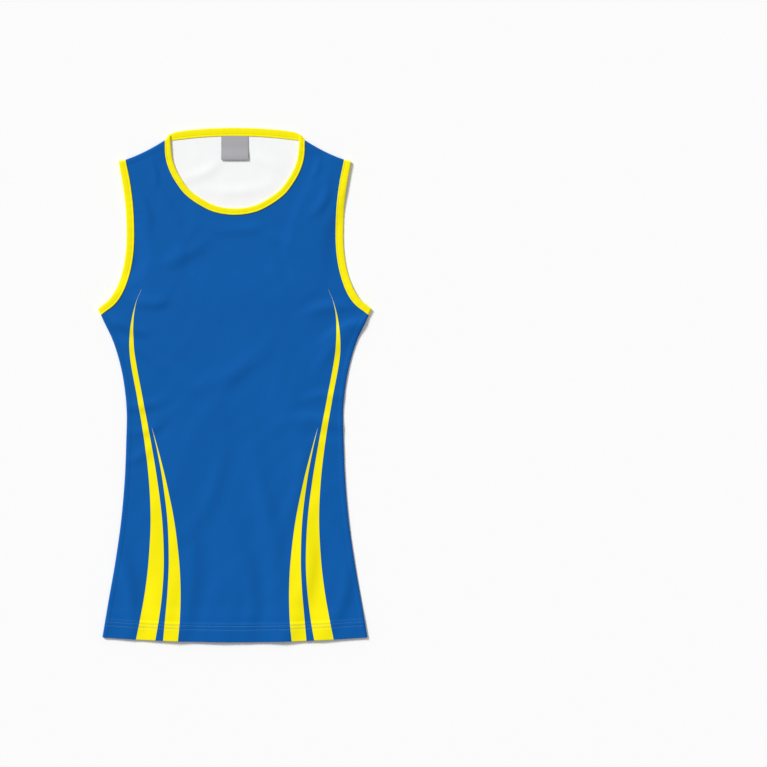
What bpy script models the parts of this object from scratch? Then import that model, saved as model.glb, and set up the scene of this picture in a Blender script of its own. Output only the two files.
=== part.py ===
"""A women's running singlet, laid flat on a table with its front up.

The hem points to -Y and the neck to +Y. The wearer's left is at +X. The table is the plane Z = 0.
Sizes are in millimetres. Each mesh is scaled to metres once, when it is finished.
A place on the cloth is (x from the centre line, height above the lowest point of the hem).
"""

from bisect import bisect
from collections import namedtuple
from math import cos, exp, radians, sin

import bmesh
import bpy
from mathutils import Vector

Place = namedtuple("Place", "half_width height")
Fold = namedtuple("Fold", "x height angle length width rise")

COLLECTION = "running_singlet"
MM = 0.001
MERGE = 0.001

# The whole garment
TOTAL_LENGTH = 694.0
SIDE_HEM_RISE = 6.5

# Cloth
WALL = 1.1
HEM_WALL = 1.7
BAND_THICKNESS = 1.9
SEAM_GAP = 0.3
HEM_DEPTH = 23.0
HEM_STEP = 4.0

# Widths of the bindings
FRONT_NECK_BAND = 8.2
BACK_NECK_BAND = 10.8
FRONT_ARMHOLE_BAND = 10.0
BACK_ARMHOLE_BAND = 9.5

# How far from a cut end its seam leaves the binding's width to meet the corner, sideways and upwards
CUT_FADE = Vector((30.0, 30.0))
BACK_NECK_FADE = Vector((20.0, 6.0))

# Corners where the seams of both panels meet
UNDERARM = Vector((180.5, 441.5))
UNDERARM_TIP = Place(184.5, 449.6)
SHOULDER_TIP = Place(156.8, 648.7)
SHOULDER_OUTER = Vector((147.6, 650.6))
SHOULDER_NECK = Vector((94.2, 677.2))
SHOULDER_SAG = 2.0

SIDE_SEAM = [
    Place(178.5, SIDE_HEM_RISE),
    Place(170.4, 55),
    Place(160.8, 110),
    Place(153.2, 165),
    Place(148.4, 220),
    Place(146.4, 270),
    Place(145.8, 313),
    Place(149.6, 350),
    Place(155.8, 380),
    Place(164.8, 408),
    Place(175.2, 430),
    Place(*UNDERARM),
]

# The free edges of the bindings
FRONT_ARMHOLE = [
    UNDERARM_TIP,
    Place(177.9, 455),
    Place(169.6, 462),
    Place(161.4, 474),
    Place(155.3, 488.5),
    Place(150.0, 508),
    Place(146.9, 530),
    Place(146.2, 553),
    Place(147.4, 586),
    Place(150.8, 615),
    SHOULDER_TIP,
]
BACK_ARMHOLE = [
    UNDERARM_TIP,
    Place(170.5, 452),
    Place(155.7, 455.8),
    Place(136.0, 465),
    Place(119.0, 476.8),
    Place(106.5, 492),
    Place(99.6, 509),
    Place(98.4, 530),
    Place(103.1, 557),
    Place(114.8, 584),
    Place(130.1, 611),
    SHOULDER_TIP,
]
FRONT_NECK = [
    Place(0, 585),
    Place(24, 588.2),
    Place(42.5, 596.7),
    Place(60.8, 610),
    Place(71.5, 623.7),
    Place(79.2, 637.2),
    Place(84.0, 650.7),
    Place(86.0, 664),
    Place(87.2, 683.8),
]
BACK_NECK = [
    Place(0, TOTAL_LENGTH),
    Place(32, 693.2),
    Place(60.8, 691),
    Place(79.7, 688.2),
    Place(88.4, 684.8),
]

# The woven label, sewn in under the back neck binding
LABEL_WIDTH = 36.5
LABEL_DROP = 32.4
LABEL_WALL = 1.0
LABEL_CURL = 1.6
LABEL_FLAT = 0.6
LABEL_ROWS = 6

# Low swells where the front lies a little clear of the back: centre, direction from +X in degrees,
# length and width of the swell, and its rise
FRONT_FOLDS = [
    Fold(x=-96, height=40, angle=97, length=120, width=26, rise=1.7),
    Fold(x=-18, height=30, angle=84, length=105, width=30, rise=1.3),
    Fold(x=62, height=52, angle=91, length=135, width=24, rise=1.9),
    Fold(x=118, height=20, angle=80, length=90, width=20, rise=1.2),
    Fold(x=-70, height=250, angle=64, length=105, width=28, rise=1.1),
    Fold(x=78, height=300, angle=112, length=110, width=26, rise=1.4),
    Fold(x=-84, height=420, angle=128, length=80, width=24, rise=1.2),
    Fold(x=12, height=470, angle=4, length=120, width=34, rise=1.5),
]
EDGE_CALM = 46.0

# The rows and columns of a panel's half
COLUMNS = 12
BACK_NECK_COLUMNS = 8
HEM_ROWS = [0.0, 0.8, 2.4, 12.0, HEM_DEPTH, HEM_DEPTH + HEM_STEP]
BODY_ROWS = 17
FRONT_CHEST_ROWS = 12
FRONT_STRAP_ROWS = 14
BACK_ARMHOLE_ROWS = 24
ARMHOLE_AT_NECK = 0.56
FRONT_DIP = 14.0
BACK_DIP = 15.0
HEM_DIP = SIDE_HEM_RISE / 4
FOLD_EDGE_WALL = (0.55, 0.8)
CURVE_STEPS = 16
SHARP_ANGLE = 40

# How far from a thicker edge of the back the front starts to rise, and how softly
CLEAR = 13.0
SOFT = 16.0
DRAPE = 22.0

# Outline of a binding's section: share of the width from the seam, share of the thickness
BAND_SECTION = [
    (0.00, 0.16),
    (0.00, 0.72),
    (0.10, 0.96),
    (0.50, 1.00),
    (0.88, 0.94),
    (1.00, 0.62),
    (1.00, 0.30),
    (0.92, 0.00),
    (0.06, 0.00),
]

BLUE = (0.0, 0.105, 0.402, 1.0)
YELLOW = (1.0, 0.890, 0.0, 1.0)
LABEL_GREY = (0.39, 0.39, 0.41, 1.0)
CLOTH_ROUGHNESS = 0.75


def smooth(value):
    """0 at 0 and below, 1 at 1 and above, and a soft step between."""
    value = min(max(value, 0.0), 1.0)
    return value * value * (3 - 2 * value)


def curve_through(places, centred=False):
    """Closely spaced points of a smooth curve through the places. A centred curve starts level."""
    points = [Vector(place) for place in places]
    before = 2 * points[0] - points[1]
    if centred:
        before = Vector((-points[1].x, points[1].y))
    points = [before, *points, 2 * points[-1] - points[-2]]
    curve = []
    for a, b, c, d in zip(points, points[1:], points[2:], points[3:]):
        span = (c - b).length
        leave = (c - a) / ((c - b).length + (b - a).length) * span
        arrive = (d - b) / ((d - c).length + (c - b).length) * span
        for step in range(CURVE_STEPS):
            t = step / CURVE_STEPS
            curve.append(
                (1 + 2 * t) * (1 - t) ** 2 * b
                + t * (1 - t) ** 2 * leave
                + t * t * (3 - 2 * t) * c
                + t * t * (t - 1) * arrive
            )
    curve.append(points[-2])
    return curve


def lengths_along(curve):
    """The distance of each point of the curve from its start."""
    lengths = [0.0]
    for a, b in zip(curve, curve[1:]):
        lengths.append(lengths[-1] + (b - a).length)
    return lengths


def stations(curve, fractions):
    """The points at these fractions of the curve's length."""
    lengths = lengths_along(curve)
    found = []
    for fraction in fractions:
        reach = fraction * lengths[-1]
        i = min(bisect(lengths, reach), len(curve) - 1)
        share = (reach - lengths[i - 1]) / (lengths[i] - lengths[i - 1])
        found.append(curve[i - 1].lerp(curve[i], share))
    return found


def evenly(count):
    return [i / count for i in range(count + 1)]


def across(curve, i, centred=False):
    """The unit vector to the left of the curve at its point i."""
    a = curve[max(i - 1, 0)]
    b = curve[min(i + 1, len(curve) - 1)]
    if centred and i == 0:
        a = Vector((-b.x, b.y))
    along = (b - a).normalized()
    return Vector((-along.y, along.x))


def felt(shift, distance, fade):
    """What is left of the shift of a seam's end at this distance from the end."""
    return Vector(part * smooth(1 - distance / reach) for part, reach in zip(shift, fade))


def seam_beside(free_edge, width, first, last, centred=False, fade=CUT_FADE):
    """The seam that lies `width` to the left of a free edge, with its ends at the given corners."""
    seam = [
        point + width * across(free_edge, i, centred) for i, point in enumerate(free_edge)
    ]
    lengths = lengths_along(free_edge)
    start_shift = Vector((0, 0)) if first is None else first - seam[0]
    end_shift = last - seam[-1]
    return [
        point + felt(start_shift, length, fade) + felt(end_shift, lengths[-1] - length, fade)
        for point, length in zip(seam, lengths)
    ]


def armhole(places, width, fractions):
    """The seam and the free edge of an armhole's binding, from the underarm to the shoulder."""
    free_edge = stations(curve_through(places), fractions)
    return seam_beside(free_edge, width, UNDERARM, SHOULDER_OUTER), free_edge


def neck(places, width, count, fade):
    """The seam and the free edge of half a neck binding, from the centre to the shoulder."""
    free_edge = stations(curve_through(places, centred=True), evenly(count))
    return seam_beside(free_edge, -width, None, SHOULDER_NECK, True, fade), free_edge


def shoulder_seam(count):
    """Points of the shoulder seam, from the neck to the armhole."""
    return [
        SHOULDER_NECK.lerp(SHOULDER_OUTER, t) - Vector((0, 4 * SHOULDER_SAG * t * (1 - t)))
        for t in evenly(count)
    ]


def width_at(edge, height):
    """The half width at this height of an edge whose points rise."""
    heights = [point.y for point in edge]
    i = min(max(bisect(heights, height), 1), len(edge) - 1)
    share = (height - heights[i - 1]) / (heights[i] - heights[i - 1])
    return edge[i - 1].lerp(edge[i], min(max(share, 0.0), 1.0)).x


def distance_to(edge, x, height):
    """The distance to the nearest point of an edge."""
    point = Vector((x, height))
    nearest = 1e9
    for a, b in zip(edge, edge[1:]):
        along = b - a
        share = (point - a).dot(along) / along.length_squared
        nearest = min(nearest, (point - a - along * min(max(share, 0.0), 1.0)).length)
    return nearest


ARMHOLE_FRACTIONS = [
    *(ARMHOLE_AT_NECK * t for t in evenly(FRONT_CHEST_ROWS)),
    *(ARMHOLE_AT_NECK + (1 - ARMHOLE_AT_NECK) * t for t in evenly(FRONT_STRAP_ROWS)[1:]),
]
SIDE = curve_through(SIDE_SEAM)
FRONT_ARMHOLE_SEAM, FRONT_ARMHOLE_EDGE = armhole(
    FRONT_ARMHOLE, FRONT_ARMHOLE_BAND, ARMHOLE_FRACTIONS
)
BACK_ARMHOLE_SEAM, BACK_ARMHOLE_EDGE = armhole(
    BACK_ARMHOLE, BACK_ARMHOLE_BAND, evenly(BACK_ARMHOLE_ROWS)
)
FRONT_NECK_SEAM, FRONT_NECK_EDGE = neck(
    FRONT_NECK, FRONT_NECK_BAND, FRONT_STRAP_ROWS, CUT_FADE
)
BACK_NECK_SEAM, BACK_NECK_EDGE = neck(
    BACK_NECK, BACK_NECK_BAND, BACK_NECK_COLUMNS, BACK_NECK_FADE
)
FRONT_OUTLINE = [*SIDE, *FRONT_ARMHOLE_SEAM[1:]]


def past_back_armhole(x, height):
    """How far a place lies past the free edge of the back's armhole, less than 0 on the back."""
    distance = distance_to(BACK_ARMHOLE_EDGE, abs(x), height)
    beside = BACK_ARMHOLE_EDGE[0].y < height < BACK_ARMHOLE_EDGE[-1].y
    if beside and abs(x) > width_at(BACK_ARMHOLE_EDGE, height):
        return distance
    return -distance


def fold_rise(x, height):
    """How far the front's low swells lift it. They die out towards the sides and the shoulders."""
    rise = 0.0
    for fold in FRONT_FOLDS:
        direction = Vector((cos(radians(fold.angle)), sin(radians(fold.angle))))
        offset = Vector((x - fold.x, height - fold.height))
        along = offset.dot(direction) / fold.length
        aside = offset.cross(direction) / fold.width
        rise += fold.rise * exp(-along * along - aside * aside)
    inside = width_at(FRONT_OUTLINE, height) - abs(x)
    return rise * smooth(inside / EDGE_CALM)


def front_underside(x, height):
    """The height above the table at which the front's underside lies."""
    past = past_back_armhole(x, height)
    over_armhole = smooth((past + BACK_ARMHOLE_BAND + CLEAR + SOFT) / SOFT)
    over_neck = smooth(1 - (distance_to(BACK_NECK_SEAM, abs(x), height) - CLEAR) / SOFT)
    over_band = max(over_armhole, over_neck)
    over_hem = smooth(1 - (height - HEM_DEPTH - SIDE_HEM_RISE - HEM_STEP) / SOFT)
    rest = WALL + SEAM_GAP
    rest += max(over_band * (BAND_THICKNESS - WALL), over_hem * (HEM_WALL - WALL))
    return (rest + fold_rise(x, height)) * smooth(1 - (past - CLEAR) / DRAPE)


def flat_on_table(x, height):
    return 0.0


def upright(underside, x, height):
    """The direction square to the cloth where it lies on this underside."""
    slope_x = underside(x + 1, height) - underside(x - 1, height)
    slope_y = underside(x, height + 1) - underside(x, height - 1)
    return Vector((-slope_x / 2, -slope_y / 2, 1)).normalized()


def row_walls(count):
    """The thickness of a panel at each of its rows, from the hem up. The hem's fold is rounded."""
    hem = [HEM_WALL] * HEM_ROWS.index(HEM_DEPTH)
    fold = [HEM_WALL * share for share in FOLD_EDGE_WALL]
    walls = [*fold, *hem[len(fold) - 1 :]]
    return walls + [WALL] * (count - len(walls))


def body_rises():
    """The rises above the hem's edge of the rows from the hem to the underarm."""
    top = UNDERARM.y - SIDE_HEM_RISE
    start = HEM_ROWS[-1]
    return [*HEM_ROWS, *(start + (top - start) * t for t in evenly(BODY_ROWS)[1:])]


def body_rows(underarm_dip):
    """Rows of a half panel from the hem to the underarm: inner end, outer end and dip."""
    rises = body_rises()
    rows = []
    for rise in rises:
        outer_height = SIDE_HEM_RISE + rise
        dip = HEM_DIP + (underarm_dip - HEM_DIP) * smooth(rise / rises[-1])
        outer = Vector((width_at(SIDE, outer_height), outer_height))
        rows.append((Vector((0, rise)), outer, dip))
    return rows


def row_points(row, shares):
    """The points of a row at these shares of its width. It sags by its dip in the middle."""
    inner, outer, dip = row
    return [inner.lerp(outer, t) - Vector((0, 4 * dip * t * (1 - t))) for t in shares]


def front_grid():
    """The points of the front's half at +X, row by row: up the body, the chest and the strap."""
    rows = body_rows(0.0)
    underarm_height = rows[-1][0].y
    neck_base = FRONT_NECK_SEAM[0].y
    for i, t in enumerate(evenly(FRONT_CHEST_ROWS)[1:], 1):
        inner = Vector((0, underarm_height + (neck_base - underarm_height) * t))
        rows.append((inner, FRONT_ARMHOLE_SEAM[i], FRONT_DIP * smooth(t)))
    for i, t in enumerate(evenly(FRONT_STRAP_ROWS)[1:], 1):
        dip = FRONT_DIP + (SHOULDER_SAG - FRONT_DIP) * t
        rows.append((FRONT_NECK_SEAM[i], FRONT_ARMHOLE_SEAM[FRONT_CHEST_ROWS + i], dip))
    return [row_points(row, evenly(COLUMNS)) for row in rows]


def back_grid():
    """The points of the back's half at +X, row by row, up to the neck and the shoulder."""
    neck_share = SHOULDER_NECK.x / SHOULDER_OUTER.x
    shoulder_columns = COLUMNS - BACK_NECK_COLUMNS
    shares = [
        *(neck_share * t for t in evenly(BACK_NECK_COLUMNS)),
        *(neck_share + (1 - neck_share) * t for t in evenly(shoulder_columns)[1:]),
    ]
    rows = body_rows(BACK_DIP)
    underarm_height = rows[-1][0].y
    grid = [row_points(row, shares) for row in rows]
    top = [*BACK_NECK_SEAM, *shoulder_seam(shoulder_columns)[1:]]
    top_bow = [
        point - top[0].lerp(top[-1], share) for point, share in zip(top, shares)
    ]
    for i, t in enumerate(evenly(BACK_ARMHOLE_ROWS)[1:], 1):
        inner = Vector((0, underarm_height + (top[0].y - underarm_height) * t))
        dip = BACK_DIP * smooth(1 - t)
        points = row_points((inner, BACK_ARMHOLE_SEAM[i], dip), shares)
        grid.append([point + bow * smooth(t) for point, bow in zip(points, top_bow)])
    return grid


def in_metres(x, height, z):
    """A place on the cloth, in the part's own frame."""
    return Vector((x, height - TOTAL_LENGTH / 2, z)) * MM


def fabric(name, colour):
    material = bpy.data.materials.new(name)
    material.use_nodes = True
    shader = material.node_tree.nodes["Principled BSDF"]
    shader.inputs["Base Color"].default_value = colour
    shader.inputs["Roughness"].default_value = CLOTH_ROUGHNESS
    shader.inputs["Metallic"].default_value = 0.0
    return material


def finish(name, bm, material, collection):
    """Makes the bmesh, whose places are in millimetres, an object of the part."""
    for vert in bm.verts:
        vert.co = in_metres(*vert.co)
    bm.normal_update()
    mesh = bpy.data.meshes.new(name)
    bm.to_mesh(mesh)
    bm.free()
    mesh.shade_smooth()
    mesh.set_sharp_from_angle(angle=radians(SHARP_ANGLE))
    mesh.materials.append(material)
    piece = bpy.data.objects.new(name, mesh)
    collection.objects.link(piece)
    return piece


def thicken(piece, wall):
    """Gives a sheet, whose faces point up, a wall above it."""
    solidify = piece.modifiers.new("wall", "SOLIDIFY")
    solidify.thickness = wall * MM
    solidify.offset = 1.0
    return solidify


def grid_sheet(points, weights=None):
    """A bmesh grid with a vertex at each of the points, given row by row, in millimetres.

    `weights` holds each row's weight in the piece's first vertex group.
    """
    bm = bmesh.new()
    group = bm.verts.layers.deform.verify()
    rows, columns = len(points), len(points[0])
    bmesh.ops.create_grid(bm, x_segments=columns - 1, y_segments=rows - 1, size=0.5)
    for vert in bm.verts:
        column = round((vert.co.x + 0.5) * (columns - 1))
        row = round((vert.co.y + 0.5) * (rows - 1))
        vert.co = points[row][column]
        if weights:
            vert[group][0] = weights[row]
    return bm


def panel(name, grid, underside, material, collection):
    """A body panel from the grid of its half at +X, thickened upwards from its underside."""
    walls = row_walls(len(grid))
    half = [[point.to_3d() for point in row] for row in grid]
    bm = grid_sheet(half, [wall / HEM_WALL for wall in walls])
    bmesh.ops.mirror(bm, geom=[*bm.verts, *bm.edges, *bm.faces], axis="X", merge_dist=MERGE)
    bm.normal_update()
    turned = [face for face in bm.faces if face.normal.z < 0]
    bmesh.ops.reverse_faces(bm, faces=turned)
    for vert in bm.verts:
        vert.co.z = underside(vert.co.x, vert.co.y)
    piece = finish(name, bm, material, collection)
    group = piece.vertex_groups.new(name="wall")
    thicken(piece, HEM_WALL).vertex_group = group.name
    return piece


def binding(name, seam, free_edge, underside, material, collection):
    """A folded binding between a panel's seam and its own free edge."""
    points = []
    for i, free_point in enumerate(free_edge):
        outwards = across(seam, i)
        if outwards.dot(free_point - seam[i]) < 0:
            outwards = -outwards
        start = seam[i] + outwards * SEAM_GAP
        ring = []
        for share, rise in BAND_SECTION:
            x, height = start.lerp(free_point, share)
            place = Vector((x, height, underside(x, height)))
            ring.append(place + upright(underside, x, height) * rise * BAND_THICKNESS)
        points.append([*ring, ring[0]])
    bm = grid_sheet(points)
    bmesh.ops.remove_doubles(bm, verts=bm.verts, dist=MERGE)
    bmesh.ops.holes_fill(bm, edges=bm.edges)
    bmesh.ops.recalc_face_normals(bm, faces=bm.faces)
    return finish(name, bm, material, collection)


def mirrored(line):
    """The same line on the other side of the centre line."""
    return [Vector((-point.x, point.y)) for point in line]


def whole(half):
    """A line from one shoulder to the other, from its half at +X."""
    return [*reversed(mirrored(half[1:])), *half]


def neck_label(material, collection):
    """The woven label: it hangs from the back neck seam, and its lower end curls up a little."""
    corner = min(BACK_NECK_SEAM, key=lambda point: abs(point.x - LABEL_WIDTH / 2))
    points = []
    for up in evenly(LABEL_ROWS):
        height = corner.y - SEAM_GAP - LABEL_DROP * (1 - up)
        z = WALL + SEAM_GAP + LABEL_CURL * smooth((LABEL_FLAT - up) / LABEL_FLAT)
        points.append([Vector((LABEL_WIDTH * (t - 0.5), height, z)) for t in evenly(LABEL_ROWS)])
    piece = finish("neck_label", grid_sheet(points), material, collection)
    thicken(piece, LABEL_WALL)
    return piece


def clear_scene():
    for thing in list(bpy.data.objects):
        bpy.data.objects.remove(thing)


def build():
    clear_scene()
    collection = bpy.data.collections.new(COLLECTION)
    bpy.context.scene.collection.children.link(collection)
    blue = fabric("blue_polyester", BLUE)
    yellow = fabric("yellow_binding", YELLOW)
    grey = fabric("woven_label", LABEL_GREY)

    panel("back_panel", back_grid(), flat_on_table, blue, collection)
    panel("front_panel", front_grid(), front_underside, blue, collection)
    bands = {
        "armhole_binding_back_left": (BACK_ARMHOLE_SEAM, BACK_ARMHOLE_EDGE, flat_on_table),
        "armhole_binding_front_left": (FRONT_ARMHOLE_SEAM, FRONT_ARMHOLE_EDGE, front_underside),
    }
    for name, (seam, free_edge, underside) in list(bands.items()):
        other_side = name.replace("left", "right")
        bands[other_side] = (mirrored(seam), mirrored(free_edge), underside)
    bands["neck_binding_back"] = (whole(BACK_NECK_SEAM), whole(BACK_NECK_EDGE), flat_on_table)
    bands["neck_binding_front"] = (
        whole(FRONT_NECK_SEAM),
        whole(FRONT_NECK_EDGE),
        front_underside,
    )
    for name, (seam, free_edge, underside) in bands.items():
        binding(name, seam, free_edge, underside, yellow, collection)
    neck_label(grey, collection)


build()
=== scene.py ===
"""The looks of a women's running singlet that lies flat on a pale floor with its front up.

The hem points to -Y and the neck to +Y. The wearer's left is at +X. The floor is the plane Z = 0.
Sizes are in millimetres. Each mesh is scaled to metres once, when it is finished.
A place on the cloth is (x from the centre line, height above the lowest point of the hem).
"""

from collections import namedtuple
from math import pi, radians

import bpy
import numpy as np
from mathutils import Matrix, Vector
from mathutils.bvhtree import BVHTree


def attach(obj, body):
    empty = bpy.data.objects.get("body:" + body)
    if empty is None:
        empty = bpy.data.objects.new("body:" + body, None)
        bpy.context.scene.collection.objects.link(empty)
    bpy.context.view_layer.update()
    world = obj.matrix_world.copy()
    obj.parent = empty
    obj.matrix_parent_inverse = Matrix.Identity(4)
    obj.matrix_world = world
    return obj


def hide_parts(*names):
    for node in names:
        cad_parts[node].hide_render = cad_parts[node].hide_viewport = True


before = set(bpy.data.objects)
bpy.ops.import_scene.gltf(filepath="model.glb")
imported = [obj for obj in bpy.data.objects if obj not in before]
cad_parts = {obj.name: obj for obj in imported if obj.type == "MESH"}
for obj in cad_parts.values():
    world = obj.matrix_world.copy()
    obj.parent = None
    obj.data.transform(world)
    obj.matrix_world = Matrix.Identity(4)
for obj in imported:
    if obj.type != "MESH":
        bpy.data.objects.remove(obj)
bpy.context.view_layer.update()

Place = namedtuple("Place", "half_width height")
Fold = namedtuple("Fold", "x height angle length width rise")
Print = namedtuple("Print", "height inner outer")
Edge = namedtuple("Edge", "seam free")
Row = namedtuple("Row", "inner outer dip level")
Finish = namedtuple("Finish", "specular shade roughness bump depth")

MM = 0.001
MERGE = 0.0001

# The whole garment
TOTAL_LENGTH = 694.0
SIDE_HEM_RISE = 6.5

# Thicknesses of the solids that the cloth follows
WALL = 1.1
HEM_WALL = 1.7
BAND_THICKNESS = 1.9
SEAM_GAP = 0.3

# Cloth, and how far its middle lies above the underside of each panel's solid
CLOTH = 0.65
FRONT_LIFT = 0.43
BACK_LIFT = 0.58

# Hem: how far apart its layers lie, its depth, the slope above it, its sewing, and the dips where the
# needles pass, as a share of the layers' distance
HEM_LAYER = 0.8
HEM_DEPTH = 23.0
HEM_STEP = 4.0
HEM_STITCH_ROWS = (16.5, 21.5)
NEEDLE_DIP = 0.4
NEEDLE_REACH = 0.9

# Side and shoulder seams: how far from them the cloth starts to roll down, and the ridge of the
# allowance inside, which presses the back down by a smaller share
SEAM_ROLL = 2.0
SEAM_ALLOWANCE = 6.8
ALLOWANCE_RISE = 0.32
ALLOWANCE_SLOPE = 1.6
BACK_ALLOWANCE = -0.3

# What shows of each panel, cut flat with its hem, in square metres
FRONT_CUT_AREA = 0.198
BACK_CUT_AREA = 0.2

# Bindings: their widths, their cloth, where they are sewn, how far their faces are crowned and are
# drawn in by the sewing, how wavy they are, and how much further the upper turned edge reaches
FRONT_NECK_BAND = 8.2
BACK_NECK_BAND = 10.8
FRONT_ARMHOLE_BAND = 10.0
BACK_ARMHOLE_BAND = 9.5
BAND_CLOTH = 0.38
BAND_STITCH_IN = 2.0
BAND_CROWN = 0.1
BAND_GROOVE = 0.3
GROOVE_REACH = 0.5
BAND_UNEVEN = 0.1
EDGE_OVERLAP = 0.26

# The raw edge of a binding's strip, turned in at the seam: how far from the seam it is, and how far
# below the face, as a share of half the way to the other face. Then places across that face
TURNED_EDGE = [
    (2.3, 0.66),
    (1.4, 0.66),
    (0.5, 0.66),
    (-0.1, 0.62),
    (-0.35, 0.5),
    (-0.42, 0.33),
    (-0.35, 0.16),
    (-0.1, 0.03),
]
BAND_FACE = [0.3, 0.9, 1.3, 1.65, BAND_STITCH_IN, 2.35, 2.7, 3.2, 4.0]

# How far from a cut end its seam leaves the binding's width to meet the corner, sideways and upwards
CUT_FADE = (30.0, 30.0)
BACK_NECK_FADE = (20.0, 6.0)

# Corners where the seams of both panels meet
UNDERARM = Place(180.5, 441.5)
UNDERARM_TIP = Place(184.5, 449.6)
SHOULDER_TIP = Place(156.8, 648.7)
SHOULDER_OUTER = Place(147.6, 650.6)
SHOULDER_NECK = Place(94.2, 677.2)
NECK_TIP = Place(87.8, 684.3)
SHOULDER_SAG = 2.0
UNDERARM_RISE = UNDERARM.height - SIDE_HEM_RISE

SIDE_SEAM = [
    Place(178.5, SIDE_HEM_RISE),
    Place(170.4, 55),
    Place(160.8, 110),
    Place(153.2, 165),
    Place(148.4, 220),
    Place(146.4, 270),
    Place(145.8, 313),
    Place(149.6, 350),
    Place(155.8, 380),
    Place(164.8, 408),
    Place(175.2, 430),
    UNDERARM,
]

# The free edges of the bindings
FRONT_ARMHOLE = [
    UNDERARM_TIP,
    Place(177.9, 455),
    Place(169.6, 462),
    Place(161.4, 474),
    Place(155.3, 488.5),
    Place(150.0, 508),
    Place(146.9, 530),
    Place(146.2, 553),
    Place(147.4, 586),
    Place(150.8, 615),
    SHOULDER_TIP,
]
BACK_ARMHOLE = [
    UNDERARM_TIP,
    Place(170.5, 452),
    Place(155.7, 455.8),
    Place(136.0, 465),
    Place(119.0, 476.8),
    Place(106.5, 492),
    Place(99.6, 509),
    Place(98.4, 530),
    Place(103.1, 557),
    Place(114.8, 584),
    Place(130.1, 611),
    SHOULDER_TIP,
]
FRONT_NECK = [
    Place(0, 585),
    Place(24, 588.2),
    Place(42.5, 596.7),
    Place(60.8, 610),
    Place(71.5, 623.7),
    Place(79.2, 637.2),
    Place(84.0, 650.7),
    Place(86.0, 664),
    Place(87.2, 683.8),
]
BACK_NECK = [
    Place(0, TOTAL_LENGTH),
    Place(32, 693.2),
    Place(60.8, 691),
    Place(79.7, 688.2),
    Place(88.4, 684.8),
]

# The printed flashes, from the hem to the tip: a height, and the half widths of the inner and the
# outer edge there
LONG_FLASH = [
    Print(0, 107.6, 134.0),
    Print(30, 102.4, 128.0),
    Print(70, 97.6, 121.0),
    Print(111, 95.8, 116.2),
    Print(165, 98.1, 113.6),
    Print(219, 104.7, 116.0),
    Print(273, 113.8, 122.4),
    Print(327, 124.0, 131.3),
    Print(381, 134.0, 141.1),
    Print(408, 136.7, 142.2),
    Print(437, 136.5, 138.9),
    Print(459, 132.7, 133.1),
    Print(476, 126.0, 126.1),
]
SHORT_FLASH = [
    Print(0, 76.8, 96.8),
    Print(30, 74.1, 94.1),
    Print(70, 73.2, 90.7),
    Print(111, 75.3, 89.1),
    Print(165, 82.0, 91.0),
    Print(219, 93.1, 97.6),
    Print(259, 103.3, 105.0),
    Print(290, 112.0, 112.1),
]

# The printed flashes, by the names of the attributes that hold them
FLASHES = {"long_flash": LONG_FLASH, "short_flash": SHORT_FLASH}

# The woven label, a loop of tape sewn in under the back neck binding: its size, how far its folded end
# curls up and over what share of it, its plies, its height above the floor, how far it bows, and how
# far the plies part
LABEL_WIDTH = 36.5
LABEL_DROP = 32.4
LABEL_CURL = 1.6
LABEL_FLAT = 0.6
LABEL_PLY = 0.3
LABEL_GAP = 0.08
LABEL_REST = 1.0
LABEL_BOW = 0.3
LABEL_OPEN = 0.25
LABEL_ROWS = 26
LABEL_COLUMNS = 18
# Where its close-woven sides start and are full, from the very side
SELVEDGE = (1.3, 0.9)

# Low swells where the front lies a little clear of the back: the centre's x and height, the direction
# from +X in degrees, the length, the width and the rise
FRONT_SWELLS = [
    Fold(-96, 40, 97, 120, 26, 1.7),
    Fold(-18, 30, 84, 105, 30, 1.3),
    Fold(62, 52, 91, 135, 24, 1.9),
    Fold(118, 20, 80, 90, 20, 1.2),
    Fold(-70, 250, 64, 105, 28, 1.1),
    Fold(78, 300, 112, 110, 26, 1.4),
    Fold(-84, 420, 128, 80, 24, 1.2),
    Fold(12, 470, 4, 120, 34, 1.5),
]
# How far from the sides the swells reach their full height
EDGE_CALM = 46.0

# Finer creases of the front, in the same columns: from the underarms, at the waist, above the hem,
# over the body and chest, and in the straps
FRONT_CREASES = [
    Fold(150, 426, 204, 34, 8, 2.1),
    Fold(136, 402, 222, 40, 9, 1.7),
    Fold(124, 452, 188, 34, 8, 1.4),
    Fold(-152, 428, -26, 32, 8, 2.0),
    Fold(-134, 398, -40, 44, 9, 1.8),
    Fold(-120, 458, -6, 30, 8, 1.3),
    Fold(124, 334, 178, 26, 7, 1.3),
    Fold(120, 300, 166, 34, 8, 1.8),
    Fold(128, 268, 158, 24, 8, 1.1),
    Fold(-126, 318, 6, 32, 8, 1.7),
    Fold(-118, 286, 18, 26, 7, 1.3),
    Fold(-130, 250, 28, 24, 8, 1.1),
    Fold(-142, 72, 99, 58, 11, 2.2),
    Fold(-58, 88, 86, 74, 12, 1.7),
    Fold(22, 66, 94, 60, 11, 1.5),
    Fold(98, 92, 82, 66, 12, 2.0),
    Fold(148, 66, 78, 46, 10, 1.7),
    Fold(-28, 212, 72, 66, 12, 1.1),
    Fold(44, 176, 104, 74, 12, 1.3),
    Fold(6, 368, 34, 52, 12, 1.3),
    Fold(-62, 350, 146, 50, 11, 1.3),
    Fold(88, 216, 78, 52, 10, 1.1),
    Fold(-64, 524, 30, 40, 10, 1.3),
    Fold(72, 538, 148, 44, 10, 1.4),
    Fold(4, 556, 3, 38, 8, 1.0),
    Fold(120, 596, 64, 24, 8, 1.4),
    Fold(-121, 586, 114, 26, 8, 1.4),
    Fold(112, 642, 72, 18, 6, 1.0),
    Fold(-108, 636, 103, 18, 6, 1.0),
]
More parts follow.
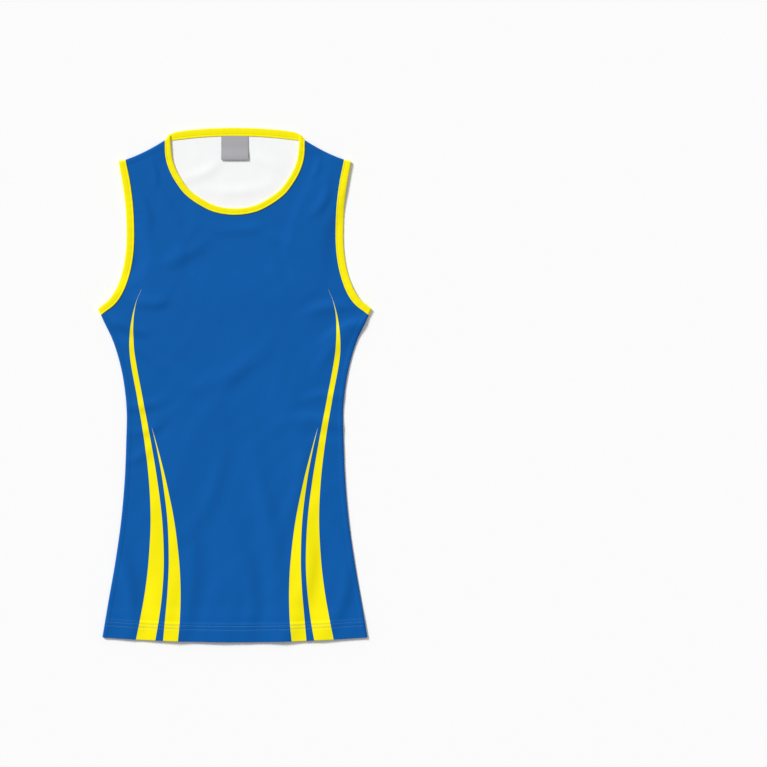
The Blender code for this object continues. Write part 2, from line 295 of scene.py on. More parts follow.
# The back is pressed between the floor and the front, so its creases are lower
BACK_CREASES = [
    Fold(-44, 632, 24, 30, 7, 0.9),
    Fold(46, 646, 152, 26, 7, 0.7),
    Fold(8, 608, 5, 40, 8, 0.8),
    Fold(-58, 560, 70, 40, 9, 0.7),
    Fold(52, 520, 112, 48, 9, 0.7),
    Fold(-126, 414, -34, 42, 9, 0.8),
    Fold(128, 410, 214, 40, 9, 0.8),
    Fold(-112, 304, 10, 34, 8, 0.7),
    Fold(110, 292, 168, 38, 8, 0.7),
    Fold(-20, 330, 62, 70, 12, 0.7),
    Fold(36, 220, 96, 80, 12, 0.7),
    Fold(-78, 130, 92, 70, 11, 0.8),
    Fold(88, 110, 84, 70, 11, 0.8),
    Fold(4, 80, 90, 60, 12, 0.7),
]
# A crease curves. In the front a trough lies beside it: its share of the rise, and how many widths away
CREASE_BEND = 0.7
TROUGH = 0.45
TROUGH_OFFSET = 1.55
# How far the front can sink below the level at which it rests
DEEPEST = 0.3

# Low waves all over the cloth
BROAD_WAVES = 0.17
FINE_WAVES = 0.08

# Small gathers that the sewing draws into the cloth, and how they sway and fade along a seam
GATHER_RISE = 0.14
GATHER_REACH = 8.0
GATHER_STEP = 1.7
GATHER_SWAY = 1.3
SWAY_STEPS = 6.1
GATHER_FADE = 0.38
FADE_STEPS = 14.3
HEM_GATHER_REACH = 9.0
# Where the gathers of the right side, the bindings and the hem start, so that no two are alike
RIGHT_START = 31.0
BAND_START = 57.0
HEM_START = 300.0

# How closely the underside rests on the floor
FLOOR_GAP = 0.02
FLOOR_SOFT = 0.03
# The back lies pressed: how softly it meets the floor, and its share of the waves and gathers
BACK_SOFT = 0.1
PRESSED = 0.5

# How far from a thicker edge of the back the front starts to rise, how softly, and over what distance
# it falls to the floor past the back's armholes
CLEAR = 13.0
SOFT = 16.0
DRAPE = 22.0

# Rows and columns of the panels' halves
FRONT_COLUMNS = 46
FRONT_BODY_ROWS = 150
FRONT_CHEST_ROWS = 46
FRONT_STRAP_ROWS = 52
BACK_NECK_COLUMNS = 26
BACK_SHOULDER_COLUMNS = 12
BACK_BODY_ROWS = 96
BACK_ARMHOLE_ROWS = 64
# Distances of the last columns from an edge, and of the last rows from a shoulder
EDGE_STEPS = [9.5, 8.4, 7.4, 6.6, 5.8, 4.4, 3.2, 2.2, 1.4, 0.8, 0.35, 0.0]
END_STEPS = [2.2, 1.4, 0.8, 0.35, 0.0]
HEM_ROW_STEP = 0.8
ALLOWANCE_ROW_STEP = 2.4
# The front armhole's share below the neck, and how far rows sag between their ends
ARMHOLE_AT_NECK = 0.56
FRONT_DIP = 14.0
BACK_DIP = 15.0
HEM_DIP = SIDE_HEM_RISE / 4
# Steps of a curve between two of its places, and of the lines of a seam
CURVE_STEPS = 16
LINE_POINTS = 160
SHOULDER_POINTS = 12
HEM_LINE_POINTS = 80
# Distances are measured to every fourth point of a seam
COARSE = 4
# The step along a binding
STRIP_STEP = 2.0

# Edges that turn by more than this many degrees stay sharp
SHARP_FROM = 50.0

# Stitches: how far from a seam's end they stop, their size, their ends' bluntness and dive into the
# cloth, and how deep they are sunk, as shares of the thread
SEWN_UP_TO = 1.2
STITCH_PITCH = 3.1
STITCH_LENGTH = 2.5
THREAD = 0.42
THREAD_SIDES = 8
STITCH_BLUNTNESS = 1.5
STITCH_DIVE = 0.35
STITCH_SUNK = 0.1

# Colours, linear
BLUE = (0.0, 0.105, 0.402, 1.0)
YELLOW = (1.0, 0.890, 0.0, 1.0)
INSIDE_WHITE = (0.975, 0.98, 0.985, 1.0)
LABEL_GREY = (0.39, 0.39, 0.41, 1.0)
HEM_THREAD = (0.11, 0.29, 0.50, 1.0)
BAND_THREAD = (0.93, 0.80, 0.01, 1.0)
FLOOR_WHITE = (0.97, 0.97, 0.97, 1.0)

# Finishes: specular level, painted shade and roughness from the hollows of the surface to its top, and
# the strength and depth of its bump. The painted shade darkens the colour in the hollows, and on the
# thread and the satin a painted highlight lightens it on top
KNIT_FINISH = Finish(specular=0.13, shade=(0.86, 1.0), roughness=(0.82, 0.66), bump=0.35, depth=0.12)
SATIN_FINISH = Finish(specular=0.45, shade=(0.92, 1.03), roughness=(0.5, 0.36), bump=0.3, depth=0.06)
THREAD_FINISH = Finish(specular=0.35, shade=(0.8, 1.05), roughness=(0.65, 0.45), bump=0, depth=0)
SHEEN = 0.03
SHEEN_ROUGHNESS = 0.45
FLOOR_ROUGHNESS = 0.9
FLOOR_SPECULAR = 0.1

# Knit: the width of a column and the height of a row, how much the rows show, and the height from
# which the colour is free of the painted shade in the hollows
WALE = 0.8
COURSE = 0.65
COURSE_RELIEF = 0.3
FULL_SHADE = 0.6
# Half the softness of a printed edge
PRINT_BLUR = 0.12
# Slanting threads to a metre, and their distortion
TWIST = (900, 1.5)
SATIN_FLOATS = (1100, 0.6)
SELVEDGE_SHADE = 0.86
# Patches of uneven shade: how many to a metre and how detailed, and how much they show
BROAD_PATCHES = (26, 4)
FINE_PATCHES = (900, 2)
CLOTH_PATCHES = 0.05
SATIN_PATCHES = 0.06

# Floor and light: the light's turns from straight down and its angle are in degrees
FLOOR_SIZE = 40000.0
WORLD_LIGHT = 0.4
SUN_TURN = (-36.0, -46.0)
SUN_STRENGTH = 3.35
SUN_ANGLE = 16.0

# Camera: its place above the floor, and how wide the floor is in its view
CAMERA_RISE = 3000.0
CAMERA_PLACE = (200.5, 349.0)
VIEW_WIDTH = 1035.5
SENSOR = 36.0


# ---------------------------------------------------------------- lines on the cloth


def smooth(value):
    """0 at 0 and below, 1 at 1 and above, and a soft step between."""
    value = np.clip(value, 0.0, 1.0)
    return value * value * (3 - 2 * value)


def soft_floor(values, lowest, softness):
    """The values, eased off where they would fall below the lowest."""
    return lowest + softness * np.logaddexp(0, (values - lowest) / softness)


def bell(value):
    """1 at 0, and softly down to 0 on both sides."""
    return np.exp(-(value**2))


def evenly(count):
    """Shares from 0 to 1 in even steps."""
    return np.linspace(0.0, 1.0, count + 1)


def arc(first, last, count):
    """The angles of an arc's points, between two angles in degrees."""
    return np.radians(np.linspace(first, last, count))


def curve_through(places, centred=False):
    """Closely spaced points of a smooth curve through the places. A centred curve starts level."""
    points = np.array(places, float)
    before = points[1] * (-1, 1) if centred else 2 * points[0] - points[1]
    points = np.vstack([before, points, 2 * points[-1] - points[-2]])
    spans = np.linalg.norm(np.diff(points, axis=0), axis=1)
    t = np.arange(CURVE_STEPS)[:, None] / CURVE_STEPS
    curve = []
    for i in range(1, len(points) - 2):
        a, b, c, d = points[i - 1 : i + 3]
        leave = (c - a) / (spans[i - 1] + spans[i]) * spans[i]
        arrive = (d - b) / (spans[i] + spans[i + 1]) * spans[i]
        curve.append(
            (1 + 2 * t) * (1 - t) ** 2 * b
            + t * (1 - t) ** 2 * leave
            + t * t * (3 - 2 * t) * c
            + t * t * (t - 1) * arrive
        )
    return np.vstack([*curve, points[-2]])


def lengths_along(curve):
    """The distance of each point of the curve from its start."""
    steps = np.linalg.norm(np.diff(curve, axis=0), axis=1)
    return np.concatenate([[0.0], np.cumsum(steps)])


def points_at(values, curve, wanted):
    """The points of a curve at the wanted values, where `values` grow along it."""
    return np.column_stack([np.interp(wanted, values, column) for column in curve.T])


def stations(curve, shares):
    """The points at these shares of the curve's length."""
    lengths = lengths_along(curve)
    return points_at(lengths, curve, shares * lengths[-1])


def at_shares(line, shares):
    """The places at these shares of a line whose points are evenly spread."""
    return points_at(evenly(len(line) - 1), line, shares)


def sagging(inner, outer, dip, shares):
    """The places at these shares of the way from inner to outer, on a line that sags by `dip`."""
    t = shares[:, None]
    return (1 - t) * np.array(inner) + t * np.array(outer) - dip * np.hstack([0 * t, 4 * t * (1 - t)])


def unit(vectors):
    """The same directions with a length of 1."""
    return vectors / np.linalg.norm(vectors, axis=-1, keepdims=True)


def seam_beside(free, width, first, last, fade):
    """The seam that lies `width` to the left of a free edge, with its ends at the given corners.

    A line that starts at the centre line starts level, and has no first corner.
    """
    along = unit(np.gradient(free, axis=0))
    if first is None:
        along[0] = (1, 0)
    seam = free + width * np.column_stack([-along[:, 1], along[:, 0]])
    lengths = lengths_along(free)[:, None]
    start_shift = np.zeros(2) if first is None else np.array(first) - seam[0]
    end_shift = np.array(last) - seam[-1]
    return (
        seam
        + start_shift * smooth(1 - lengths / fade)
        + end_shift * smooth(1 - (lengths[-1] - lengths) / fade)
    )


def armhole(places, width):
    """The seam and the free edge of an armhole's binding, from the underarm to the shoulder."""
    free = stations(curve_through(places), evenly(LINE_POINTS))
    return Edge(seam_beside(free, width, UNDERARM, SHOULDER_OUTER, CUT_FADE), free)


def neck(places, width, fade):
    """The seam and the free edge of half a neck binding, from the centre to the shoulder."""
    free = stations(curve_through(places, centred=True), evenly(LINE_POINTS))
    return Edge(seam_beside(free, -width, None, SHOULDER_NECK, fade), free)


def shoulder_seam(shares):
    """Points of the shoulder seam, from the neck to the armhole."""
    return sagging(SHOULDER_NECK, SHOULDER_OUTER, SHOULDER_SAG, shares)


def mirrored(edge):
    """The same lines on the other side of the centre line."""
    return Edge(edge.seam * (-1, 1), edge.free * (-1, 1))


def both_sides(half):
    """A line right across the garment, from its half at +X."""
    return np.vstack([half[:0:-1] * (-1, 1), half])


SIDE = curve_through(SIDE_SEAM)
FRONT_ARM = armhole(FRONT_ARMHOLE, FRONT_ARMHOLE_BAND)
BACK_ARM = armhole(BACK_ARMHOLE, BACK_ARMHOLE_BAND)
FRONT_COLLAR = neck(FRONT_NECK, FRONT_NECK_BAND, CUT_FADE)
BACK_COLLAR = neck(BACK_NECK, BACK_NECK_BAND, BACK_NECK_FADE)
FRONT_OUTLINE = np.vstack([SIDE, FRONT_ARM.seam[1:]])
JOINS = [
    np.vstack([SIDE, UNDERARM_TIP]),
    np.vstack([NECK_TIP, shoulder_seam(evenly(SHOULDER_POINTS)), SHOULDER_TIP]),
]


# ---------------------------------------------------------------- how the cloth lies


def on_one_side(places):
    """The places, moved to the wearer's left side."""
    return np.abs(places * (1, 0)) + places * (0, 1)


def nearest_on(edge, places):
    """How far each of the places is from an edge, and how far along the edge it is."""
    distance = np.full(len(places), np.inf)
    position = np.zeros(len(places))
    lengths = lengths_along(edge)
    for a, b, start in zip(edge, edge[1:], lengths):
        along = b - a
        share = np.clip((places - a) @ along / (along @ along), 0, 1)
        found = np.linalg.norm(places - a - share[:, None] * along, axis=1)
        position = np.where(found < distance, start + share * np.linalg.norm(along), position)
        distance = np.minimum(distance, found)
    return distance, position


def width_at(edge, height):
    """The half width at these heights of an edge whose points rise."""
    return np.interp(height, edge[:, 1], edge[:, 0])


def folds(table, places, bend=0.0, trough=0.0):
    """How far the folds of a table lift the places. A bent fold curves, and a trough lies beside it."""
    rise = np.zeros(len(places))
    for fold in table:
        direction = np.array([np.cos(radians(fold.angle)), np.sin(radians(fold.angle))])
        offset = places - (fold.x, fold.height)
        along = offset @ direction / fold.length
        aside = (offset[:, 0] * direction[1] - offset[:, 1] * direction[0]) / fold.width
        aside = aside + bend * along**2
        section = bell(aside) - trough * bell(aside - TROUGH_OFFSET)
        rise += fold.rise * bell(along) * section
    return rise


def unevenness(places):
    """Very low waves all over the cloth, which no flat lay is free of.

    What divides a place is the length of a wave over 2 pi.
    """
    x, height = places.T
    broad = np.sin(x / 9.3 + 1.4 * np.sin(height / 47)) * np.sin(height / 12.5 + x / 61)
    fine = np.sin(x / 5.1 - height / 8.7 + 1.9 * np.sin(height / 33 + x / 41))
    return BROAD_WAVES * broad + FINE_WAVES * fine


def gathers(position):
    """Uneven waves along a sewn line, from -1 to 1."""
    steps = position / GATHER_STEP
    waves = np.sin(steps + GATHER_SWAY * np.sin(steps / SWAY_STEPS))
    return waves * (1 - GATHER_FADE + GATHER_FADE * np.sin(steps / FADE_STEPS + 1))


def gathered(places, edges):
    """The gathers of the cloth beside these seams."""
    rise = np.zeros(len(places))
    side = on_one_side(places)
    for edge in edges:
        distance, position = nearest_on(edge[::COARSE], side)
        position = np.where(places[:, 0] < 0, position + RIGHT_START, position)
        rise += GATHER_RISE * np.exp(-distance / GATHER_REACH) * gathers(position)
    return rise


def past_back_armhole(places):
    """How far a place lies past the free edge of the back's armhole, less than 0 on the back."""
    edge = BACK_ARM.free
    side = on_one_side(places)
    distance, _ = nearest_on(edge[::COARSE], side)
    x, height = side.T
    beside = (edge[0, 1] < height) & (height < edge[-1, 1]) & (x > width_at(edge, height))
    return np.where(beside, distance, -distance)


def front_lay(places):
    """The height above the floor at which the front's underside lies."""
    side = on_one_side(places)
    x, height = side.T
    past = past_back_armhole(places)
    over_armhole = smooth((past + BACK_ARMHOLE_BAND + CLEAR + SOFT) / SOFT)
    over_neck = smooth(1 - (nearest_on(BACK_COLLAR.seam[:: 2 * COARSE], side)[0] - CLEAR) / SOFT)
    over_band = np.maximum(over_armhole, over_neck)
    over_hem = smooth(1 - (height - HEM_DEPTH - SIDE_HEM_RISE - HEM_STEP) / SOFT)
    rest = WALL + SEAM_GAP + np.maximum(
        over_band * (BAND_THICKNESS - WALL), over_hem * (HEM_WALL - WALL)
    )
    calm = smooth((width_at(FRONT_OUTLINE, height) - x) / EDGE_CALM)
    loose = folds(FRONT_SWELLS, places) * calm + unevenness(places)
    loose += folds(BACK_CREASES, places, CREASE_BEND)
    loose += folds(FRONT_CREASES, places, CREASE_BEND, TROUGH)
    lay = (rest + soft_floor(loose, -DEEPEST, DEEPEST)) * smooth(1 - (past - CLEAR) / DRAPE)
    return lay + gathered(places, [FRONT_ARM.seam, FRONT_COLLAR.seam])


def back_lay(places):
    """How far the back is raised off the floor."""
    rise = soft_floor(
        folds(BACK_CREASES, places, CREASE_BEND) + PRESSED * unevenness(places), 0, BACK_SOFT
    )
    return rise + PRESSED * gathered(places, [BACK_ARM.seam, BACK_COLLAR.seam])


def above_floor(heights, thickness):
    """The heights of a sheet's middle, kept where its underside clears the floor."""
    return soft_floor(heights, thickness / 2 + FLOOR_GAP, FLOOR_SOFT)


def closing(places):
    """How far the front and the back are parted, and how far away the seams that join them are.

    They are parted by 0 at the side and shoulder seams, and by their full distance, 1, clear of them.
    """
    side = on_one_side(places)
    distance = np.minimum(*(nearest_on(join, side)[0] for join in JOINS))
    near = np.clip(1 - distance / SEAM_ROLL, 0, 1)
    return np.sqrt(1 - near**2), distance


# ---------------------------------------------------------------- making meshes


def in_metres(points):
    """Places on the cloth, with their height above the floor, in the part's own frame."""
    return (points - (0, TOTAL_LENGTH / 2, 0)) * MM


def apply_modifiers(piece):
    """Makes a piece's modifiers part of its mesh, and leaves that piece alone selected."""
    bpy.ops.object.select_all(action="DESELECT")
    piece.select_set(True)
    bpy.context.view_layer.objects.active = piece
    for modifier in list(piece.modifiers):
        bpy.ops.object.modifier_apply(modifier=modifier.name)


def coordinates(piece):
    """The places of a piece's vertices, a row for each."""
    points = np.zeros(len(piece.data.vertices) * 3)
    piece.data.vertices.foreach_get("co", points)
    return points.reshape(-1, 3)


def set_coordinates(piece, points):
    """Moves a piece's vertices to these places."""
    piece.data.vertices.foreach_set("co", np.ascontiguousarray(points, np.float32).ravel())
    piece.data.update()


def grid_sheet(name, points, *materials):
    """A sheet with a vertex at each of the points, which are given row by row."""
    rows, columns = points.shape[:2]
    bpy.ops.object.select_all(action="DESELECT")
    bpy.ops.mesh.primitive_grid_add(x_subdivisions=columns - 1, y_subdivisions=rows - 1, size=1)
    sheet = bpy.context.object
    sheet.name = sheet.data.name = name
    for material in materials:
        sheet.data.materials.append(material)
    set_coordinates(sheet, points.reshape(-1, 3))
    return sheet


def uv_along(sheet, name, places):
    """Gives the sheet a UV map that holds, in metres, these places of its vertices."""
    layer = sheet.data.uv_layers[0]
    layer.name = name
    corners = np.zeros(len(sheet.data.loops), int)
    sheet.data.loops.foreach_get("vertex_index", corners)
    layer.uv.foreach_set("vector", (places.reshape(-1, 2)[corners] * MM).ravel())


def thicken(sheet, thickness, inside=0):
    """Gives a sheet its thickness to both sides. Its inside takes the material slot `inside`."""
    solidify = sheet.modifiers.new("cloth", "SOLIDIFY")
    solidify.thickness = thickness
    solidify.offset = 0.0
    solidify.material_offset = inside


def finish(piece, nodes=()):
    """Applies what is left, scales the piece to metres and places it in the part."""
    apply_modifiers(piece)
    set_coordinates(piece, in_metres(coordinates(piece)))
    bpy.ops.object.shade_smooth_by_angle(angle=radians(SHARP_FROM))
    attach(piece, "root")
    if nodes:
        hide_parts(*nodes)
    return piece


# ---------------------------------------------------------------- panels


def hem_rows(inner, outer):
    """Rows of a hem, from the raw edge of what is turned in, round the fold and up to the body.

    `inner` and `outer` are the levels of its two layers. Each row is its rise above the edge and its
    level. The outer layer dips where the needles pass.
    """
    middle, half = (inner + outer) / 2, (outer - inner) / 2
    reach = abs(half)
    turned_in = [
        (rise, inner) for rise in np.arange(HEM_DEPTH, CLOTH / 2 + 2 * reach, -ALLOWANCE_ROW_STEP)
    ]
    turn = [
        (CLOTH / 2 + reach * (1 - np.cos(angle)), middle + half * np.sin(angle))
        for angle in arc(-90, 90, 9)
    ]
    face = []
    for rise in np.arange(CLOTH / 2 + 2 * reach, HEM_DEPTH + HEM_STEP, HEM_ROW_STEP):
        level = outer * smooth((HEM_DEPTH + HEM_STEP - rise) / HEM_STEP)
        for row in HEM_STITCH_ROWS:
            level += NEEDLE_DIP * (inner - outer) * bell((rise - row) / NEEDLE_REACH)
        face.append((rise, level))
    return [*turned_in, *turn, *face]


def body_row(rise, level, underarm_dip):
    """A row of the body's half at this rise above the hem. It sags by more towards the underarm."""
    height = SIDE_HEM_RISE + rise
    dip = HEM_DIP + (underarm_dip - HEM_DIP) * smooth(rise / UNDERARM_RISE)
    return Row(np.array([0, rise]), np.array([width_at(SIDE, height), height]), dip, level)


def body_rows(inner, outer, count, underarm_dip):
    """Rows from the hem's raw edge to the underarm, where the hem's layers have these levels."""
    start = HEM_DEPTH + HEM_STEP
    above = [(start + (UNDERARM_RISE - start) * t, 0.0) for t in evenly(count)]
    return [body_row(rise, level, underarm_dip) for rise, level in hem_rows(inner, outer) + above]


def row_points(row, shares):
    """The points of a row at these shares of its width, with the row's level as their third number."""
    flat = sagging(row.inner, row.outer, row.dip, shares)
    return np.hstack([flat, np.full((len(flat), 1), row.level)])


def closer_at_the_end(count, length, steps):
    """Shares of a length: `count` even steps, and then these distances from its end."""
    even = evenly(count)[:-1] * (1 - steps[0] / length)
    return np.concatenate([even, 1 - np.array(steps) / length])


def front_rows():
    """The front's half at +X, row by row: up the body, the chest and the strap."""
    rows = body_rows(0.0, HEM_LAYER, FRONT_BODY_ROWS, 0.0)
    base, neck_base = rows[-1].inner[1], FRONT_COLLAR.seam[0][1]
    for t in evenly(FRONT_CHEST_ROWS)[1:]:
        inner = np.array([0, base + (neck_base - base) * t])
        outer = at_shares(FRONT_ARM.seam, [ARMHOLE_AT_NECK * t])[0]
        rows.append(Row(inner, outer, FRONT_DIP * smooth(t), 0.0))
    strap = lengths_along(FRONT_COLLAR.seam)[-1]
    for t in closer_at_the_end(FRONT_STRAP_ROWS, strap, END_STEPS)[1:]:
        inner = at_shares(FRONT_COLLAR.seam, [t])[0]
        outer = at_shares(FRONT_ARM.seam, [ARMHOLE_AT_NECK + (1 - ARMHOLE_AT_NECK) * t])[0]
        rows.append(Row(inner, outer, FRONT_DIP + (SHOULDER_SAG - FRONT_DIP) * t, 0.0))
    points = []
    for row in rows:
        width = np.linalg.norm(row.outer - row.inner)
        points.append(row_points(row, closer_at_the_end(FRONT_COLUMNS, width, EDGE_STEPS)))
    return np.array(points)


def back_rows():
    """The back's half at +X, row by row, up to the neck and the shoulder."""
    neck_share = SHOULDER_NECK.half_width / SHOULDER_OUTER.half_width
    shoulder_width = SHOULDER_OUTER.half_width - SHOULDER_NECK.half_width
    beside = closer_at_the_end(BACK_SHOULDER_COLUMNS, shoulder_width, EDGE_STEPS)[1:]
    beside_neck = evenly(BACK_NECK_COLUMNS)
    shares = np.concatenate([neck_share * beside_neck, neck_share + (1 - neck_share) * beside])
    body = body_rows(HEM_LAYER, 0.0, BACK_BODY_ROWS, BACK_DIP)
    points = [row_points(row, shares) for row in body]
    top = np.vstack([stations(BACK_COLLAR.seam, beside_neck), shoulder_seam(beside)])
    bow = np.hstack([top - sagging(top[0], top[-1], 0, shares), np.zeros((len(top), 1))])
    base = body[-1].inner[1]
    for up in closer_at_the_end(BACK_ARMHOLE_ROWS, lengths_along(BACK_ARM.seam)[-1], END_STEPS)[1:]:
        inner = np.array([0, base + (top[0][1] - base) * up])
        outer = at_shares(BACK_ARM.seam, [up])[0]
        row = row_points(Row(inner, outer, BACK_DIP * smooth(1 - up), 0.0), shares)
        points.append(row + bow * smooth(up))
    return np.array(points)


def print_gaps(table, places):
    """How far each place is inside a printed flash's outer and inner edges, less than 0 outside."""
    outer = curve_through([(row.outer, row.height) for row in table])
    inner = curve_through([(row.inner, row.height) for row in table])
    x, height = np.abs(places[:, 0]), places[:, 1]
    beyond = np.maximum(height - table[-1].height, 0)
    return np.column_stack(
        [width_at(outer, height) - x - beyond, x - width_at(inner, height) - beyond, 0 * x]
    )


def print_flashes(piece):
    """Stores on a panel where the flashes are printed, for its material to read."""
    places = coordinates(piece)[:, :2]
    for name, table in FLASHES.items():
        attribute = piece.data.attributes.new(name, "FLOAT_VECTOR", "POINT")
        attribute.data.foreach_set("vector", print_gaps(table, places).astype(np.float32).ravel())


def panel(name, rows, lay, lift, face, inside):
    """A whole panel from the rows of its half, laid on its underside and thickened to cloth."""
    piece = grid_sheet(name, rows, face, inside)
    mirror = piece.modifiers.new("other half", "MIRROR")
    mirror.merge_threshold = MERGE
    apply_modifiers(piece)
    points = coordinates(piece)
    places, level = points[:, :2], points[:, 2]
    parted, distance = closing(places)
    ridge = ALLOWANCE_RISE * smooth((SEAM_ALLOWANCE - distance) / ALLOWANCE_SLOPE)
    if lay is back_lay:
        # The back's face is down, and so is the floor that it is pressed against
        ridge *= BACK_ALLOWANCE
        piece.data.flip_normals()
    from_sewing = (places[:, 1] - sum(HEM_STITCH_ROWS) / 2) / HEM_GATHER_REACH
    hem_gathers = GATHER_RISE * gathers(places[:, 0] + HEM_START) * bell(from_sewing)
    height = lay(places) + lift + level + ridge + hem_gathers
    seam_level = (front_lay(places) + FRONT_LIFT + BACK_LIFT) / 2
    points[:, 2] = above_floor(seam_level + (height - seam_level) * parted, CLOTH)
    set_coordinates(piece, points)
    thicken(piece, CLOTH, inside=1)
    return piece


# ---------------------------------------------------------------- bindings, label and sewing


def band_section(width):
    """Across a folded binding of these widths: how far from the seam and how high, for each point.

    It runs from the edge turned in below, round the fold and back to the edge turned in above.
    """
    low = BAND_CLOTH / 2 + FLOOR_GAP
    high = BAND_THICKNESS - BAND_CLOTH / 2 - BAND_CROWN
    half = (high - low) / 2
    turn_in = BAND_CLOTH / 2 + half
    columns = [(np.full_like(width, across), high - half * drop) for across, drop in TURNED_EDGE]
    for across in BAND_FACE:
        groove = BAND_GROOVE * bell((across - BAND_STITCH_IN) / GROOVE_REACH)
        columns.append((np.full_like(width, across), high - groove))
    for share in evenly(5)[1:-1]:
        across = BAND_FACE[-1] + (width - turn_in - BAND_FACE[-1]) * share
        columns.append((across, high + BAND_CROWN * np.sin(pi * share)))
    for angle in arc(0, 90, 5):
        columns.append((width - turn_in + half * np.sin(angle), low + half + half * np.cos(angle)))
    set_back = [EDGE_OVERLAP * smooth(1 - across - EDGE_OVERLAP) for across, _ in columns]
    lower = [
        (across + back, low + high - up)
        for (across, up), back in zip(columns[:-1], set_back)
    ]
    section = [*lower, *reversed(columns)]
    across = np.column_stack([across for across, _ in section])
    up = np.array([up for _, up in section])
    return across, up


def across_binding(edge, shares):
    """Places on a binding's seam and on its free edge, and the directions from one to the other."""
    seam = at_shares(edge.seam, shares)
    free = at_shares(edge.free, shares)
    return seam, free, unit(free - seam)


def binding(name, edge, lay, material):
    """A folded binding between a panel's seam and its own free edge, and its strip's flat size."""
    length = lengths_along(edge.free)[-1]
    ends = np.array(END_STEPS) / length
    even = evenly(int(length / STRIP_STEP))[2:-2]
    shares = np.concatenate([ends[::-1], even, 1 - ends])
    seam, free, outwards = across_binding(edge, shares)
    start = seam + outwards * SEAM_GAP
    width = np.linalg.norm(free - start, axis=1)
    width += BAND_UNEVEN * gathers(shares * length + BAND_START)
    across, up = band_section(width)
    places = start[:, None, :] + outwards[:, None, :] * across[:, :, None]
    flat = places.reshape(-1, 2)
    parted, _ = closing(flat)
    height = lay(flat) + np.tile(up, len(shares))
    end_level = (front_lay(flat) + BAND_THICKNESS) / 2
    height = above_floor(end_level + (height - end_level) * parted, BAND_CLOTH)
    points = np.hstack([flat, height[:, None]]).reshape(*places.shape[:2], 3)
    piece = grid_sheet(name, points, material)
    steps = lengths_along(np.column_stack([across[0], up]))
    along = np.repeat(shares * length, len(up))
    uv_along(piece, "strip", np.column_stack([along, np.tile(steps, len(shares))]))
    thicken(piece, BAND_CLOTH)
    return piece, (steps[-1] * MM, length * MM)


def label_loop():
    """The label: a loop of tape that hangs from the back neck seam, with its folded end curling up."""
    half = (LABEL_PLY + LABEL_GAP) / 2
    drops = LABEL_DROP * evenly(LABEL_ROWS)
    path = [(drop, -half) for drop in drops[:-1]]
    path += [
        (LABEL_DROP + half * np.cos(angle), half * np.sin(angle)) for angle in arc(-75, 75, 7)
    ]
    path += [(drop, half) for drop in drops[-2::-1]]
    across = LABEL_WIDTH * (evenly(LABEL_COLUMNS) - 0.5)
    sewn = np.interp(np.abs(across), *BACK_COLLAR.seam.T) + SEAM_GAP
    rows = []
    for drop, ply in path:
        down = min(drop / LABEL_DROP, 1.0)
        curl = LABEL_CURL * smooth((down - 1 + LABEL_FLAT) / LABEL_FLAT)
        level = LABEL_REST + half + LABEL_PLY / 2 + ply + curl
        # The bow is full from half way down. The plies are parted between a third and five sixths
        bow = LABEL_BOW * np.cos(across / LABEL_WIDTH * pi) * smooth(down * 2)
        parted = LABEL_OPEN * np.sign(ply) * smooth(down * 3) * smooth((1 - down) * 6)
        height = sewn + (sewn.min() - sewn) * down - drop
        rows.append(np.column_stack([across, height, level + bow + parted]))
    piece = grid_sheet("neck_label_cloth", np.array(rows), label_material())
    thicken(piece, LABEL_PLY)
    return piece


def seated(piece, line, side):
    """The line's places, raised onto the piece's surface as seen from above (1) or below (-1)."""
    tree = BVHTree.FromObject(piece, bpy.context.evaluated_depsgraph_get())
    points = []
    for place in in_metres(np.column_stack([line, np.zeros(len(line))])):
        start = Vector((place[0], place[1], side))
        hit = tree.ray_cast(start, Vector((0, 0, -side)))[0]
        if hit is not None:
            points.append(np.array(hit) / MM + (0, TOTAL_LENGTH / 2, 0))
    return np.array(points)


def stitch_row(piece, line, side):
    """A row of stitches along a line on a piece's upper (1) or lower (-1) side, sunk a little in it."""
    line = seated(piece, line, side) - (0, 0, side * STITCH_SUNK * THREAD)
    bpy.ops.object.select_all(action="DESELECT")
    bpy.ops.mesh.primitive_uv_sphere_add(segments=THREAD_SIDES, ring_count=THREAD_SIDES, radius=1)
    row = bpy.context.object
    x, y, z = coordinates(row).T
    along = np.sign(z) * (1 - (1 - np.abs(z)) ** STITCH_BLUNTNESS)
    dive = side * STITCH_DIVE * THREAD * np.abs(along) ** 3
    lengthways = (STITCH_PITCH + along * STITCH_LENGTH) / 2
    set_coordinates(row, np.column_stack([lengthways, x * THREAD / 2, y * THREAD / 2 - dive]))
    length = lengths_along(line)[-1]
    array = row.modifiers.new("stitches", "ARRAY")
    array.count = int(length / STITCH_PITCH)
    array.use_relative_offset = False
    array.use_constant_offset = True
    array.constant_offset_displace = (length / array.count, 0, 0)
    path = bpy.data.curves.new("path", "CURVE")
    path.dimensions = "3D"
    path.twist_mode = "Z_UP"
    spline = path.splines.new("POLY")
    spline.points.add(len(line) - 1)
    spline.points.foreach_set("co", np.hstack([line, np.ones((len(line), 1))]).ravel())
    guide = bpy.data.objects.new("path", path)
    bpy.context.scene.collection.objects.link(guide)
    bend = row.modifiers.new("along the seam", "CURVE")
    bend.object = guide
    apply_modifiers(row)
    bpy.data.objects.remove(guide)
    return row


def join(name, rows, thread):
    """One mesh of these rows of stitches."""
    bpy.ops.object.select_all(action="DESELECT")
    for row in rows:
        row.select_set(True)
    bpy.context.view_layer.objects.active = rows[0]
    bpy.ops.object.join()
    rows[0].name = rows[0].data.name = name
    rows[0].data.materials.append(thread)
    return rows[0]


def hem_stitches(name, piece, side, thread):
    """The twin-needle rows of a hem, on the side of the piece that faces out."""
    rows = []
    for rise in HEM_STITCH_ROWS:
        row = body_row(rise, 0.0, 0.0)
        sewn = evenly(HEM_LINE_POINTS) * (1 - SEWN_UP_TO / row.outer[0])
        line = both_sides(row_points(row, sewn)[:, :2])
        rows.append(stitch_row(piece, line, side))
    return join(name, rows, thread)


